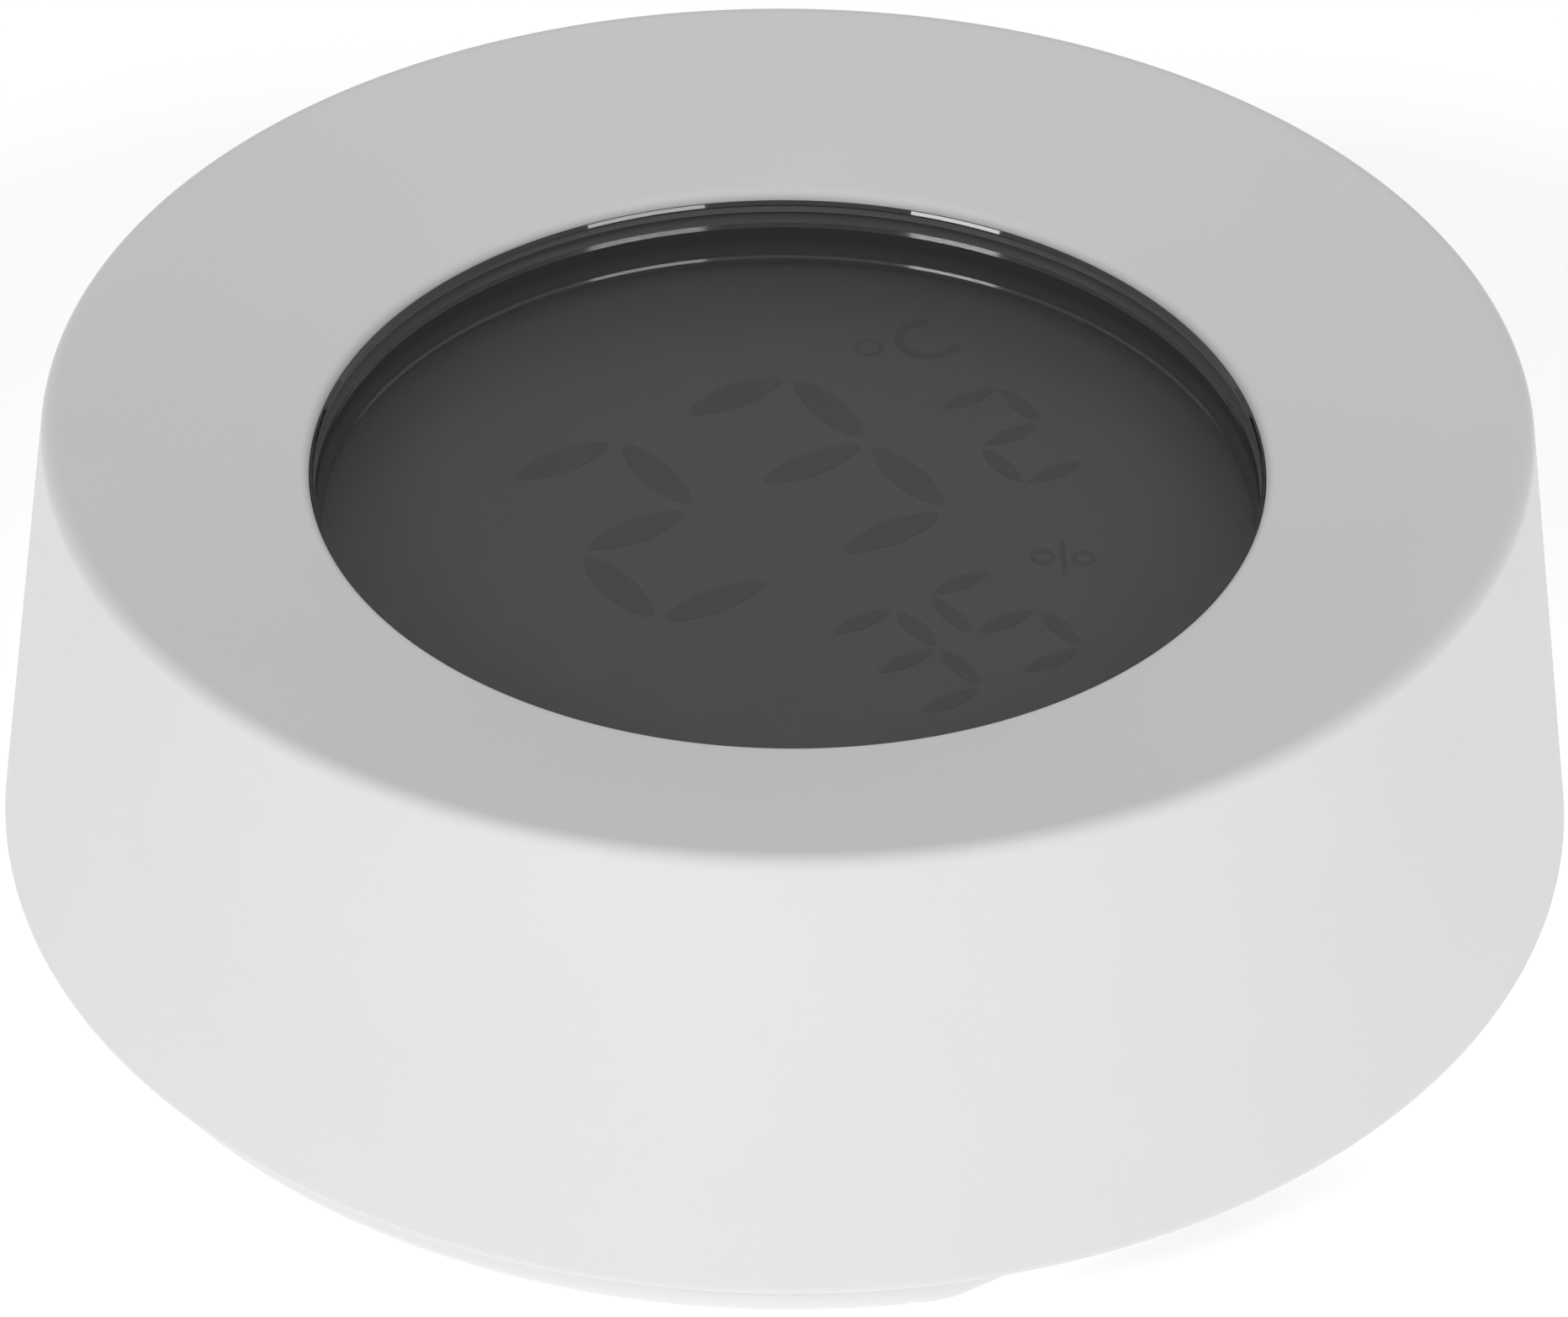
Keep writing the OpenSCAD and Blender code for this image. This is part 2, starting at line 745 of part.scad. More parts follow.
module contact_plate(end, y) {
  block([contact_t, contact_w, contact_h], [end * contact_x, y], battery_z - contact_h / 2);
}

module solder_tab(end, y) {
  block([contact_t, tab_w, z_board_low - battery_z], [end * contact_x, y], battery_z);
}

// Moves to the inner face of a contact plate, with +X towards the battery
module at_contact(end, y) {
  translate([end * (contact_x - contact_t / 2), y, battery_z])
    mirror([end > 0 ? 1 : 0, 0, 0]) children();
}

// Cone that meets a battery's positive button
dome_r = 2.8;
dome_tip_r = 1.6;
contact_reach = contact_room - seat_fit;
module contact_dome(end, y) {
  at_contact(end, y) translate([-join, 0, 0]) rotate([0, 90, 0])
    cylinder(r1 = dome_r, r2 = dome_tip_r, h = contact_reach + join);
}

// Bent leaf that meets a battery's flat end
leaf_w = 5;
leaf_root = 3.4;
leaf_foot = 0.64;
leaf_tip = 0.8;
module contact_leaf(end, y) {
  inner = contact_reach - contact_t;
  at_contact(end, y) translate([0, leaf_w / 2, 0]) rotate([90, 0, 0]) linear_extrude(leaf_w)
    polygon([[-join, leaf_root - leaf_foot], [inner, leaf_tip - contact_t], [inner, -leaf_tip],
             [contact_reach, -leaf_tip], [contact_reach, leaf_tip], [-join, leaf_root]]);
}

module positive_terminal() {
  color(steel) {
    contact_plate(1, battery_y);
    contact_dome(1, battery_y);
    solder_tab(1, battery_y);
  }
}

module negative_terminal() {
  color(steel) {
    contact_plate(1, -battery_y);
    contact_leaf(1, -battery_y);
    solder_tab(1, -battery_y);
  }
}

module bridge_contact() {
  color(steel) {
    contact_plate(-1, battery_y);
    contact_plate(-1, -battery_y);
    block([contact_t, 2 * battery_y, contact_h / 2], [-contact_x, 0], battery_z - contact_h / 2);
    contact_leaf(-1, battery_y);
    contact_dome(-1, -battery_y);
  }
}

// Disc of radius r with a flat towards -Y at the given distance, whose ends have radius q
module notched_disc(r, flat, q) {
  centre = [sqrt(pow(r - q, 2) - pow(flat - q, 2)), -(flat - q)];
  touch = unit(centre) * r;
  difference() {
    circle(r);
    polygon([[-r, touch[1]], [-touch[0], touch[1]], [-centre[0], -flat], [centre[0], -flat],
             [touch[0], touch[1]], [r, touch[1]], [r, -2 * r], [-r, -2 * r]]);
  }
  for (side = [-1, 1]) translate([side * centre[0], centre[1]]) circle(q);
}

// Feet, of which one stands behind the notch
foot_angles = [30, 150, 270];
module at_feet(z) {
  for (a = foot_angles) rotate(a) translate([base_r - foot_inset, 0, z]) children();
}

notch_flat = sqrt(pow(base_r, 2) - pow(notch_w / 2, 2));
slot_lift = 0.2;
slot_top = 0.7;

module base_cover() {
  height = z_wall_top - z_base;
  slot_h = z_wall_top - slot_top - z_floor - slot_lift;
  first_slot = -(slot_count - 1) / 2 * slot_pitch;
  color(white) difference() {
    union() {
      translate([0, 0, z_base]) linear_extrude(height)
        notched_disc(base_r, notch_flat, notch_round);
      at_detents() sphere(r = detent_r);
    }
    translate([0, 0, z_floor]) linear_extrude(height)
      notched_disc(base_r - base_wall, notch_flat - base_wall, notch_round - base_wall);
    for (i = [0 : slot_count - 1])
      block([slot_w, 2 * (base_wall + cut), slot_h], [first_slot + i * slot_pitch, -notch_flat],
            z_floor + slot_lift);
    at_feet(z_base - cut) cylinder(r = foot_d / 2 + seat_fit, h = foot_sunk + cut);
    rotate_extrude() polygon([
      [base_r - base_chamfer - cut, z_base - cut], [base_r + cut, z_base - cut],
      [base_r + cut, z_base + base_chamfer + cut]
    ]);
  }
}

module rubber_feet() {
  color("#4A4A4C") at_feet(0) cylinder(d = foot_d, h = foot_sunk + foot_proud);
}

housing();
window_lens();
lens_adhesive();
display_frame();
front_polarizer();
front_glass();
display_segments();
cell_seal();
rear_glass();
rear_reflector();
display_tray();
zebra_connector();
circuit_board();
radio_board();
shield_can();
sensor_chip();
sensor_gasket();
crystal();
chip_capacitors();
chip_resistors();
power_inductor();
pairing_switch();
switch_plunger();
pairing_button();
battery_tray();
tray_screws();
battery_left();
battery_right();
positive_terminal();
negative_terminal();
bridge_contact();
base_cover();
rubber_feet();
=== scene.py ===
import math

import bpy
import numpy as np
from mathutils import Matrix, Vector


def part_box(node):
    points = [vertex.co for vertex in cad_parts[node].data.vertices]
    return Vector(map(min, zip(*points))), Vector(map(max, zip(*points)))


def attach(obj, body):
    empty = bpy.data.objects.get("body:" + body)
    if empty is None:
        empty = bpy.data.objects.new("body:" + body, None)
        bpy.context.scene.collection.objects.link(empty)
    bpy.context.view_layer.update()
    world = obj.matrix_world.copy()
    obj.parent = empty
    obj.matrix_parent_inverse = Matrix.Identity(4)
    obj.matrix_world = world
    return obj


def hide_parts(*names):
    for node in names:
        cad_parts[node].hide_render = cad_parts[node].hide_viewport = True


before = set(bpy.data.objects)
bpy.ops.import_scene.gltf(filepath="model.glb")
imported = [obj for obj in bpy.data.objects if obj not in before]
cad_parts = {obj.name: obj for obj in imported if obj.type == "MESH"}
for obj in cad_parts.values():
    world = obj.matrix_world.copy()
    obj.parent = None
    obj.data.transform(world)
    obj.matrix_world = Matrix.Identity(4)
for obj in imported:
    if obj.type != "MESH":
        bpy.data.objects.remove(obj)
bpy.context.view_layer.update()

scene = bpy.context.scene
scene.view_settings.view_transform = "Standard"

# The camera looks down on the sensor from its front left, through a long lens. Its place, tilt and
# lens come from the ellipses that the rims draw in the photograph, whose width and lens are in pixels.
photo_w, lens_px, sensor_w, camera_away = 1864, 9316.07, 36, 0.36304
turn, rise = math.radians(-34), math.radians(37.637)
yaw, tilt, roll = np.radians([-0.0142, 0.8674, 0.5054])
aim = np.array([0, 0, 0.00325])
back = np.array([math.sin(turn) * math.cos(rise), -math.cos(turn) * math.cos(rise), math.sin(rise)])
right = np.array([math.cos(turn), math.sin(turn), 0])
up = np.cross(back, right)
right, ahead = right * math.cos(yaw) + back * math.sin(yaw), right * math.sin(yaw) - back * math.cos(yaw)
up, ahead = up * math.cos(tilt) - ahead * math.sin(tilt), up * math.sin(tilt) + ahead * math.cos(tilt)
right, up = right * math.cos(roll) + up * math.sin(roll), up * math.cos(roll) - right * math.sin(roll)
photo_lens = bpy.data.cameras.new("photo_camera")
photo_lens.sensor_fit, photo_lens.sensor_width = "HORIZONTAL", sensor_w
photo_lens.lens = sensor_w * lens_px / photo_w
photo_lens.clip_start = 0.01
camera = bpy.data.objects.new("photo_camera", photo_lens)
camera.matrix_world = (Matrix.Translation(aim + back * camera_away)
                       @ Matrix(np.array([right, up, -ahead]).T.tolist()).to_4x4())
scene.collection.objects.link(camera)
scene.camera = camera


# The housing is one white shell: a side that leans in, a rounded rim, and a top that dishes down
# to the window. It is injection moulded in matte plastic, with four screw bosses inside.
def rounded(corners, hold=0.1, steps=7):
    """Closed outline of points (radius, height) from corners (radius, height, rounding), in mm.
    A corner's arc starts rounding / tan(half its angle) before the corner, and turns about a centre
    that lies rounding / sin(half its angle) along the bisector. On each straight side, one point
    a hold away from the arc keeps the side's shading flat."""
    corners = np.array(corners, float)
    point, radius = corners[:, :2], corners[:, 2:]
    before, after = np.roll(point, 1, 0) - point, np.roll(point, -1, 0) - point
    before /= np.linalg.norm(before, axis=1, keepdims=True)
    after /= np.linalg.norm(after, axis=1, keepdims=True)
    bisector = before + after
    bisector /= np.maximum(np.linalg.norm(bisector, axis=1, keepdims=True), 1e-9)
    half = np.arccos(np.clip((before * after).sum(1, keepdims=True), -1, 1)) / 2
    reach = radius / np.tan(half)
    centre = point + bisector * radius / np.sin(half)
    arm = (point + before * reach - centre)[:, None]
    way = np.sign(before[:, 1] * after[:, 0] - before[:, 0] * after[:, 1])[:, None]
    angle = (way * (np.pi - 2 * half) * np.linspace(0, 1, steps))[..., None]
    across = np.stack([-arm[..., 1], arm[..., 0]], -1)
    arc = centre[:, None] + arm * np.cos(angle) + across * np.sin(angle)
    lead, tail = point + before * (reach + hold), point + after * (reach + hold)
    return np.concatenate([lead[:, None], arc, tail[:, None]], 1).reshape(-1, 2)


def turned(outline, middle=(0, 0), sides=360):
    """Outline (radius, height) in mm carried once round an upright axis, as a grid in metres:
    x = radius times cosine and y = radius times sine of the angle, both from the axis's place."""
    angle = np.linspace(0, 2 * np.pi, sides + 1)
    radius, height = outline[:, :1], outline[:, 1:]
    x = middle[0] + radius * np.cos(angle)
    y = middle[1] + radius * np.sin(angle)
    return np.stack([x, y, height + 0 * angle], -1) / 1000


def skin(name, sheets, strips=(), smooth=True):
    """Mesh piece over grids of points (rows, columns, xyz). Four neighbours make two triangles. A sheet's
    last row joins its first, and a strip's doesn't. Points that coincide become one, and triangles
    without area go."""
    points, faces, count = [], [], 0
    for sheet, rows in [*((s, len(s)) for s in sheets), *((s, len(s) - 1) for s in strips)]:
        here = np.arange(sheet.shape[0] * sheet.shape[1]).reshape(sheet.shape[:2]) + count
        above = np.roll(here, -1, 0)
        a, b, c, d = here[:rows, :-1], here[:rows, 1:], above[:rows, 1:], above[:rows, :-1]
        faces.append(np.stack([a, b, c, a, c, d], -1).reshape(-1, 3))
        points.append(sheet.reshape(-1, 3))
        count += here.size
    points = np.concatenate(points)
    places = np.round(points * 1e8).astype(np.int64)
    _, first, same = np.unique(places, axis=0, return_index=True, return_inverse=True)
    faces = same.reshape(-1)[np.concatenate(faces)]
    faces = faces[(faces != np.roll(faces, 1, 1)).all(1)]
    used, faces = np.unique(faces, return_inverse=True)
    mesh = bpy.data.meshes.new(name)
    mesh.from_pydata(points[first][used].tolist(), [], faces.reshape(-1, 3).tolist())
    if smooth:
        mesh.shade_smooth()
    piece = bpy.data.objects.new(name, mesh)
    scene.collection.objects.link(piece)
    return piece


class Wire:
    """One socket of a node tree. Sums, differences, products and comparisons of wires and numbers
    add Math nodes, and node() adds any other node."""

    def __init__(self, tree, socket=None):
        self.tree, self.socket = tree, socket

    def node(self, kind, settings, sockets, out=0):
        """Adds a node, makes its settings first, then gives its sockets their values or links."""
        made = self.tree.nodes.new(kind)
        for name, value in settings.items():
            setattr(made, name, value)
        for name, value in sockets.items():
            if isinstance(value, Wire):
                self.tree.links.new(value.socket, made.inputs[name])
            else:
                made.inputs[name].default_value = value
        return Wire(self.tree, made.outputs[out])

    def math(self, operation, a, b=0):
        """Adds a Math node on two wires or numbers."""
        return self.node("ShaderNodeMath", {"operation": operation}, {0: a, 1: b})

    def __add__(self, other):
        return self.math("ADD", self, other)

    def __sub__(self, other):
        return self.math("SUBTRACT", self, other)

    def __rsub__(self, other):
        return self.math("SUBTRACT", other, self)

    def __mul__(self, other):
        return self.math("MULTIPLY", self, other)

    def __gt__(self, other):
        return self.math("GREATER_THAN", self, other)

    def __lt__(self, other):
        return self.math("LESS_THAN", self, other)

    __radd__, __rmul__ = __add__, __mul__


def finish(name, **constants):
    """Material with one Principled shader, whose unvarying values stand on its own sockets.
    Gives the material, a function that feeds a wire into one of its sockets, and Object coordinates."""
    material = bpy.data.materials.new(name)
    material.use_nodes = True
    tree = material.node_tree
    shader = tree.nodes["Principled BSDF"]
    for socket, value in constants.items():
        shader.inputs[socket.replace("_", " ")].default_value = value

    def feed(socket, wire):
        tree.links.new(wire.socket, shader.inputs[socket])

    return material, feed, Wire(tree).node("ShaderNodeTexCoord", {}, {}, "Object")


def noise(place, size, detail=2.0):
    """Soft noise from 0 to 1 whose blots are about this many mm across."""
    return place.node("ShaderNodeTexNoise", {}, {"Vector": place, "Scale": 1000 / size, "Detail": detail})


def shade(low, high, wire):
    """Colour from low to high as the wire goes from 0 to 1."""
    return wire.node("ShaderNodeMix", {"data_type": "RGBA"}, {0: wire, 6: (*low, 1), 7: (*high, 1)}, 2)


def relief(wire, depth, strength=1.0):
    """Bump from a wire that goes from 0 to 1, over a depth in mm."""
    return wire.node("ShaderNodeBump", {}, {"Strength": strength, "Distance": depth / 1000, "Height": wire})


def moulded_white(name, low, high, roughness):
    """White plastic from a spark-eroded mould: fine even grain, faint clouds in the tone and a few
    specks of dust, which lie where a Voronoi cell's middle is nearer than a seventieth of a cell, in
    about a quarter of the cells."""
    material, feed, place = finish(name, IOR=1.46)
    grain = noise(place, 0.16, 3)
    clouds = noise(place, 14)
    cells = {"Vector": place, "Scale": 85.0}
    near = place.node("ShaderNodeTexVoronoi", {}, cells, "Distance") < 0.014
    chosen = place.node("ShaderNodeSeparateColor", {},
                        {0: place.node("ShaderNodeTexVoronoi", {}, cells, "Color")}) > 0.72
    dusty = near * chosen * 0.45
    feed("Base Color", shade(low, high, (clouds * 0.7 + grain * 0.3) * (1 - dusty) - dusty * 0.5))
    feed("Roughness", roughness - 0.05 + grain * 0.06 + clouds * 0.04)
    feed("Normal", relief(grain, 0.006, 0.5))
    return material


def dress(material, *nodes):
    """Gives CAD nodes a finish in place of the plain colour that they came with."""
    for node in nodes:
        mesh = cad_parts[node].data
        mesh.materials.clear()
        mesh.materials.append(material)


side_r, rim_r, lip_r, seat_r = 36.053, 33.253, 21.5, 23.85
socket_r, inner_side_r, inner_rim_r = 34.453, 33.629, 31.569
edge_z, step_z, ledge_z, lip_z, rim_z = 2.9, 6.2, 20.5, 21.52, 24.67
inner_seat_z, inner_rim_z = 20.139, 22.217
edge_round, rim_round, lip_round, inner_round, edge_break, fine_break = 0.5, 0.6, 0.55, 1.0, 0.1, 0.05
shell_outline = rounded([
    (socket_r, edge_z, edge_break), (side_r, edge_z, edge_round), (rim_r, rim_z, rim_round),
    (lip_r, lip_z, lip_round), (lip_r, ledge_z, fine_break), (seat_r, ledge_z, fine_break),
    (seat_r, inner_seat_z, edge_break), (inner_rim_r, inner_rim_z, inner_round),
    (inner_side_r, step_z, edge_break), (socket_r, step_z, edge_break),
], steps=12)
board_z, screw_ring = 14.2, 28.0
boss_r, boss_top, boss_hole_r, boss_hole_z = 2.6, 22.0, 1.0, 19.9
screw_angles = np.radians([45, 135, 225, 315])
screw_places = [(screw_ring * math.cos(a), screw_ring * math.sin(a)) for a in screw_angles]
boss_outline = rounded([
    (boss_hole_r, board_z, edge_break), (boss_r, board_z, 0.15), (boss_r, boss_top, 0),
    (0, boss_top, 0), (0, boss_hole_z, 0), (boss_hole_r, boss_hole_z, 0),
])
housing = skin("housing_shell", [turned(shell_outline, sides=480)]
               + [turned(boss_outline, place, 48) for place in screw_places])
white_plastic = moulded_white("matte_white_plastic", (0.77, 0.77, 0.765), (0.83, 0.83, 0.825), 0.5)
housing.data.materials.append(white_plastic)
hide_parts("housing")
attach(housing, "sensor")

# The window is a flat disc of smoked acrylic, with a raised and polished bevel round its edge. Under
# the bevel its rim and flange are frosted grey, and the flange is glued under the housing's lip.
window_low, window_top, window_edge, flange_z = 19.91, 20.9, 21.12, 20.4
clear_r, window_r, flange_r = 21.296, 21.45, 23.75
bevel_round, frost_below, hair = 0.02, 0.15, 0.01
window_outline = rounded([
    (0, window_low, 0), (flange_r, window_low, edge_break), (flange_r, flange_z, edge_break),
    (window_r, flange_z, 0.03), (window_r, window_edge, bevel_round), (clear_r, window_top, bevel_round),
    (0, window_top, 0),
], hold=0.02, steps=5)
window = skin("smoked_window", [turned(window_outline, sides=480)])
scene.cycles.transparent_max_bounces = 24  # enough for the way in and out through window, film and pane
smoked, feed, place = finish("smoked_acrylic", IOR=1.5)
flat_place = place.node("ShaderNodeVectorMath", {"operation": "MULTIPLY"}, {0: place, 1: (1, 1, 0)})
from_axis = flat_place.node("ShaderNodeVectorMath", {"operation": "LENGTH"}, {0: flat_place}, "Value")
height = place.node("ShaderNodeSeparateXYZ", {}, {0: place}, "Z")
rim_part = from_axis > (clear_r - hair) / 1000
frosted = rim_part * (height < (window_top - frost_below) / 1000)
wiped = noise(place, 9, 4)
greyed = frosted * (0.8 + wiped * 0.2) + wiped * 0.03
feed("Base Color", shade((0.008, 0.008, 0.009), (0.20, 0.20, 0.20), greyed))
feed("Roughness", 0.015 + wiped * 0.03 + frosted * 0.4)
feed("Alpha", 0.18 + rim_part * 0.82)
window.data.materials.append(smoked)
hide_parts("window_lens")
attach(window, "sensor")

# A thin ring of black double-sided tape holds the window's flange under the housing's lip.
# It is die-cut foam with a slightly open surface.
tape, feed, place = finish("black_foam_tape", IOR=1.4)
pores = noise(place, 0.2)
feed("Base Color", shade((0.012, 0.012, 0.012), (0.03, 0.03, 0.03), pores))
feed("Roughness", 0.75 + pores * 0.15)
feed("Normal", relief(pores, 0.02))
dress(tape, "lens_adhesive")

# The display's frame is a black moulded ring that covers the edge of the display's glass. Its wall is
# matte between two polished bevels, one under the window and one at the glass, and there its colour is
# darkened as painted shade of the recess under the window. Four pegs locate it.
film_z, view_r, bevel_w, bevel_h, foot_z = 17.8, 21.05, 0.14, 0.2, 18.05
foot_bevel_w, foot_bevel_h = 0.084, 0.12
frame_in, frame_out, frame_top = 23.8, 24.9, 19.9
frame_outline = rounded([
    (frame_in, board_z, fine_break), (frame_out, board_z, edge_break), (frame_out, frame_top, edge_break),
    (view_r + 2 * bevel_w, frame_top, bevel_round), (view_r + bevel_w, frame_top - bevel_h, bevel_round),
    (view_r + foot_bevel_w, foot_z + foot_bevel_h, bevel_round), (view_r, foot_z, bevel_round),
    (view_r, film_z, bevel_round), (frame_in, film_z, fine_break),
], hold=0.02, steps=5)
peg_ring, peg_r, peg_low, peg_top = (frame_in + frame_out) / 2, 0.5, 13.2, board_z + hair
peg_outline = rounded([(0, peg_low, 0), (peg_r, peg_low, edge_break), (peg_r, peg_top, 0), (0, peg_top, 0)])
peg_places = [(peg_ring, 0), (0, peg_ring), (-peg_ring, 0), (0, -peg_ring)]
display_frame = skin("display_frame_ring", [turned(frame_outline, sides=480)]
                     + [turned(peg_outline, place, 24) for place in peg_places])
frame_black, feed, place = finish("polished_black_plastic", IOR=1.55)
haze = noise(place, 3, 3)
height = place.node("ShaderNodeSeparateXYZ", {}, {0: place}, "Z")
matte_wall_and_painted_shade = ((height > (foot_z + foot_bevel_h + bevel_round) / 1000)
              * (height < (frame_top - bevel_h - bevel_round) / 1000))
# Between the bevels the colour drops to 15 per cent of the frame's: painted shade of the recess.
haze_and_painted_shade = (0.4 + haze * 0.6) * (1 - matte_wall_and_painted_shade * 0.85)
feed("Base Color", shade((0.004, 0.004, 0.005), (0.03, 0.03, 0.031), haze_and_painted_shade))
feed("Roughness", 0.06 + haze * 0.06 + matte_wall_and_painted_shade * 0.5)
display_frame.data.materials.append(frame_black)
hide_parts("display_frame")
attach(display_frame, "sensor")

# The front polarizer is a grey plastic film with a fine anti-glare surface. It is stuck on the front
# glass and stops a little short of the glass's edge.
glass_z, glass_r, film_r, gap = 17.6, 23.7, 23.2, 0.004
film_outline = rounded([
    (0, glass_z + gap, 0), (film_r, glass_z + gap, 0), (film_r, film_z - gap, 0), (0, film_z - gap, 0),
])
front_film = skin("front_film", [turned(film_outline, sides=240)])
film_grey, feed, place = finish("anti_glare_film", IOR=1.5)
frosting = noise(place, 0.08, 2)
feed("Base Color", shade((0.02, 0.02, 0.021), (0.04, 0.04, 0.042), frosting))
feed("Roughness", 0.22 + frosting * 0.1)
feed("Alpha", 0.06 + frosting * 0.04)
front_film.data.materials.append(film_grey)
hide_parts("front_polarizer")
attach(front_film, "sensor")

# The front glass of the display cell is a clear round pane with a ground edge. It is wider than the
# rear glass, so that its contact ledge lies free on one side.
cell_low, cell_top = 16.8, 16.9
pane_outline = rounded([
    (0, cell_top + gap, 0), (glass_r, cell_top + gap, 0.06),
    (glass_r, glass_z - gap, 0.06), (0, glass_z - gap, 0),
])
front_pane = skin("front_pane", [turned(pane_outline, sides=240)])
clear_glass, feed, place = finish("clear_display_glass", IOR=1.5)
ripple = noise(place, 30)
feed("Base Color", shade((0.70, 0.74, 0.72), (0.76, 0.80, 0.78), ripple))
feed("Roughness", 0.02 + ripple * 0.02)
feed("Alpha", 0.03 + ripple * 0.02)
front_pane.data.materials.append(clear_glass)
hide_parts("front_glass")
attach(front_pane, "sensor")

# The reading is drawn by darkened liquid crystal between the two glasses: almond-shaped segments
# in seven-segment figures, a degree sign, a C and a percent sign.
upper_right, upper_left, lower_right, lower_left = (1, 1, 90), (-1, 1, 90), (1, -1, 90), (-1, -1, 90)
top_bar, middle_bar, bottom_bar = (0, 2, 0), (0, 0, 0), (0, -2, 0)
crystal_gap, crystal_t, segment_share, blunt, end_cap = 0.02, 0.01, 0.82, 1.15, 1e-4
figures = {
    "2": [top_bar, upper_right, middle_bar, lower_left, bottom_bar],
    "3": [top_bar, upper_right, middle_bar, lower_right, bottom_bar],
    "5": [top_bar, upper_left, middle_bar, lower_right, bottom_bar],
}


def stroke(path, width):
    """Flat band along a path in the display's plane, as wide at each point as the width there.
    Its two edges lie half the width to the left and right of the path's direction. On a closed path,
    the direction at the seam is that from the point before it to the point after it."""
    along = np.gradient(path, axis=0)
    if np.allclose(path[0], path[-1]):
        along[[0, -1]] = path[1] - path[-2]
    along /= np.linalg.norm(along, axis=1, keepdims=True)
    half = np.stack([-along[:, 1], along[:, 0]], -1) * np.reshape(width, (-1, 1)) / 2
    low = np.full((len(path), 1), cell_low + crystal_gap)
    top = low + crystal_t
    left, right_edge = path + half, path - half
    corners = [(right_edge, low), (left, low), (left, top), (right_edge, top)]
    return np.stack([np.concatenate(corner, 1) for corner in corners])[:, ::-1] / 1000


def almond(middle, length, width, degrees):
    """Segment between two equal circular arcs, whose pointed ends are cut off square: its width at x
    is twice the root of the arc radius squared minus x squared, less the part of the arc radius that
    lies beyond the segment's middle. The pointed almond would be longer by the factor blunt."""
    radius = ((blunt * length) ** 2 + width ** 2) / (4 * width)
    x = np.linspace(-length / 2, length / 2, 25)
    wide = 2 * (np.sqrt(radius ** 2 - x ** 2) - (radius - width / 2))
    x, wide = np.array([x[0] - end_cap, *x, x[-1] + end_cap]), np.array([0, *wide, 0])
    a = math.radians(degrees)
    return stroke(np.array(middle) + np.outer(x, [math.cos(a), math.sin(a)]), wide)


def figure(number, middle, width, height, thickness):
    """Lit segments of one figure, each segment_share times as long as the room between two corners."""
    return [almond((middle[0] + x * width / 2, middle[1] + y * height / 4),
                   segment_share * (height / 2 if degrees else width), thickness, degrees)
            for x, y, degrees in figures[number]]


def bow(middle, radius, width, start=0, end=360, count=49, end_turn=1e-5):
    """Band along a circle from one angle to another, in degrees: the middle plus the radius, less half the
    width, times (cosine, sine) of the angle. An open band narrows to nothing within a tiny turn."""
    a, wide = np.radians(np.linspace(start, end, count)), np.full(count, width)
    if end - start < 360:
        a, wide = np.array([a[0] - end_turn, *a, a[-1] + end_turn]), np.array([0, *wide, 0])
    return stroke(np.array(middle) + (radius - width / 2) * np.stack([np.cos(a), np.sin(a)], -1), wide)


def bar(middle, length, width, degrees):
    """Straight band with square ends: its width holds to both ends, and is nothing just past them."""
    a = math.radians(degrees)
    x = np.array([-length / 2 - end_cap, -length / 2, length / 2, length / 2 + end_cap])
    return stroke(np.array(middle) + np.outer(x, [math.cos(a), math.sin(a)]), [0, width, width, 0])


large, small = (6.2, 12.9, 1.65), (3.5, 7, 0.9)  # width, height and thickness of a figure
warm_tens, warm_units, warm_tenths = (-5.25, 4.35), (4.3, 4.35), (13.25, 1.2)
damp_tens, damp_units = (-0.65, -10.5), (4.75, -10.5)
degree_place, degree_r, c_place, c_r, c_w, c_open = (11.75, 10.7), 0.72, (14.5, 9.75), 1.65, 0.5, 57
percent_place, percent_apart = np.array([9.7, -7.95]), np.array([0.75, -0.55])
sign_w, percent_r, percent_l, percent_slant = 0.26, 0.6, 2.5, 58
reading = skin("reading", [
    *figure("2", warm_tens, *large), *figure("3", warm_units, *large), *figure("2", warm_tenths, *small),
    *figure("3", damp_tens, *small), *figure("5", damp_units, *small),
    bow(degree_place, degree_r, sign_w), bow(c_place, c_r, c_w, c_open, 360 - c_open),
    bow(percent_place + percent_apart, percent_r, sign_w),
    bow(percent_place - percent_apart, percent_r, sign_w),
    bar(percent_place, percent_l, sign_w, percent_slant),
], smooth=False)
dark_crystal, feed, place = finish("dark_liquid_crystal", IOR=1.5)
patches = noise(place, 0.5, 3)
feed("Base Color", shade((0.072, 0.072, 0.075), (0.098, 0.098, 0.101), patches))
feed("Roughness", 0.55 + patches * 0.1)
reading.data.materials.append(dark_crystal)
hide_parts("display_segments")
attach(reading, "sensor")

# The cell is closed by a printed resin seal, with the rear glass under it. The glass shows the grey
# of the reflecting film below, which has a fine sparkle.
seal, feed, place = finish("cell_resin", IOR=1.5)
resin = noise(place, 0.6)
feed("Base Color", shade((0.36, 0.36, 0.32), (0.46, 0.46, 0.42), resin))
feed("Roughness", 0.5 + resin * 0.1)
dress(seal, "cell_seal")
ground, feed, place = finish("display_ground", IOR=1.45)
sparkle = noise(place, 0.06, 2)
feed("Base Color", shade((0.119, 0.121, 0.119), (0.153, 0.155, 0.153), sparkle))
feed("Roughness", 0.5 + sparkle * 0.1)
dress(ground, "rear_glass")
reflector, feed, place = finish("reflecting_film", IOR=1.5, Metallic=0.7)
satin = noise(place, 0.05, 2)
feed("Base Color", shade((0.52, 0.53, 0.52), (0.64, 0.65, 0.64), satin))
feed("Roughness", 0.3 + satin * 0.12)
dress(reflector, "rear_reflector")

